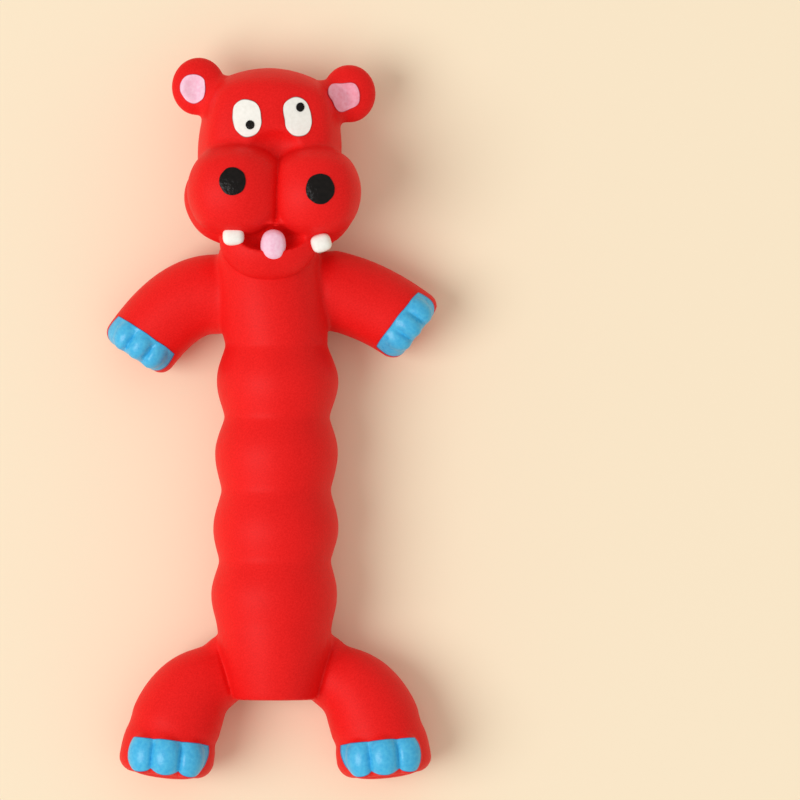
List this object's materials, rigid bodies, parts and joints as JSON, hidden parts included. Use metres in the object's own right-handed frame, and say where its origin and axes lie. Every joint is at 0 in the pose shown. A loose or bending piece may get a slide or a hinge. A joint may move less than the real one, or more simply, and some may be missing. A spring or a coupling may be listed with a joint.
{
  "type": "squeaky dog toy",
  "caption": "Stuffed latex hippo dog toy lying on its back: ribbed body, big-cheeked head, stub arms, bent legs, painted face and toes, and a squeaker that sounds when the belly is pressed.",
  "frame": {"origin": "on the surface the toy lies on, under the body's axis at the crest of the second rib", "axes": "+X to the viewer's right, +Y up the body to the head, +Z out of the belly and the face"},
  "size_m": [0.106, 0.2402, 0.0517],
  "materials": {
    "red_latex": "soft moulded latex, satin to matte",
    "blue_paint": "brushed latex paint, satin",
    "white_paint": "brushed latex paint, satin",
    "pink_paint": "brushed latex paint, satin",
    "black_paint": "brushed latex paint, slightly glossy",
    "fibre_stuffing": "loose polyester fibre",
    "squeaker_bulb": "soft blown bulb, matte",
    "squeaker_nozzle": "moulded plastic",
    "squeaker_reed": "thin plastic strip"
  },
  "bodies": {
    "chest": {"chest_skin": "red_latex", "chest_stuffing": "fibre_stuffing", "squeaker_bulb": "squeaker_bulb", "squeaker_nozzle": "squeaker_nozzle", "reed_wedge": "squeaker_nozzle"},
    "reed": {"squeaker_reed": "squeaker_reed"},
    "belly": {"belly_wall": "red_latex"},
    "lower_body": {"hip_skin": "red_latex", "hip_stuffing": "fibre_stuffing", "fill_plug": "red_latex"},
    "head": {"head_skin": "red_latex", "head_stuffing": "fibre_stuffing", "tongue": "pink_paint", "left_eye_white": "white_paint", "left_pupil": "black_paint", "left_nostril": "black_paint", "left_tooth": "white_paint", "right_eye_white": "white_paint", "right_pupil": "black_paint", "right_nostril": "black_paint", "right_tooth": "white_paint"},
    "left_ear": {"left_ear": "red_latex", "left_ear_lining": "pink_paint"},
    "right_ear": {"right_ear": "red_latex", "right_ear_lining": "pink_paint"},
    "left_arm": {"left_arm_skin": "red_latex", "left_arm_stuffing": "fibre_stuffing", "left_paw_toes": "blue_paint"},
    "right_arm": {"right_arm_skin": "red_latex", "right_arm_stuffing": "fibre_stuffing", "right_paw_toes": "blue_paint"},
    "left_leg": {"left_leg_skin": "red_latex", "left_leg_stuffing": "fibre_stuffing", "left_foot_toes": "blue_paint"},
    "right_leg": {"right_leg_skin": "red_latex", "right_leg_stuffing": "fibre_stuffing", "right_foot_toes": "blue_paint"}
  },
  "joints": [
    {"name": "belly_press", "type": "slide", "parent": "chest", "child": "belly", "axis": [0, 0, -1], "range_m": [0, 0.008], "stiffness_N_per_m": 900, "deforming": ["squeaker_bulb", "chest_stuffing"]},
    {"name": "reed_lift", "type": "hinge", "parent": "chest", "child": "reed", "pos_m": [0, 0.0317, 0.02895], "axis": [-1, 0, 0], "range_deg": [0, 8]},
    {"name": "waist_bend", "type": "hinge", "parent": "chest", "child": "lower_body", "pos_m": [0, -0.0125, 0.0198], "axis": [-1, 0, 0], "range_deg": [-16, 16], "stiffness_Nm_per_rad": 0.6},
    {"name": "neck_nod", "type": "hinge", "parent": "chest", "child": "head", "pos_m": [0, 0.062, 0.0198], "axis": [1, 0, 0], "range_deg": [-20, 6], "stiffness_Nm_per_rad": 0.6},
    {"name": "left_shoulder_flex", "type": "hinge", "parent": "chest", "child": "left_arm", "pos_m": [-0.018, 0.054, 0.0131], "axis": [0, 1, 0], "range_deg": [-15, 15], "stiffness_Nm_per_rad": 0.25},
    {"name": "right_shoulder_flex", "type": "hinge", "parent": "chest", "child": "right_arm", "pos_m": [0.018, 0.054, 0.0131], "axis": [0, -1, 0], "range_deg": [-15, 15], "stiffness_Nm_per_rad": 0.25},
    {"name": "left_hip_flex", "type": "hinge", "parent": "lower_body", "child": "left_leg", "pos_m": [-0.016, -0.071, 0.0133], "axis": [-1, 0, 0], "range_deg": [-25, 30], "stiffness_Nm_per_rad": 0.3},
    {"name": "right_hip_flex", "type": "hinge", "parent": "lower_body", "child": "right_leg", "pos_m": [0.016, -0.071, 0.0133], "axis": [-1, 0, 0], "range_deg": [-25, 30], "stiffness_Nm_per_rad": 0.3},
    {"name": "left_ear_flex", "type": "hinge", "parent": "head", "child": "left_ear", "pos_m": [-0.02085, 0.11789, 0.02061], "axis": [0.6984, 0.7157, 0], "range_deg": [-12, 12], "stiffness_Nm_per_rad": 0.05},
    {"name": "right_ear_flex", "type": "hinge", "parent": "head", "child": "right_ear", "pos_m": [0.02058, 0.11572, 0.02061], "axis": [0.6197, -0.7848, 0], "range_deg": [-12, 12], "stiffness_Nm_per_rad": 0.05}
  ],
  "couplings": [
    {"joint": "reed_lift", "follows": "belly_press", "rad_per_m": 13.09}
  ]
}
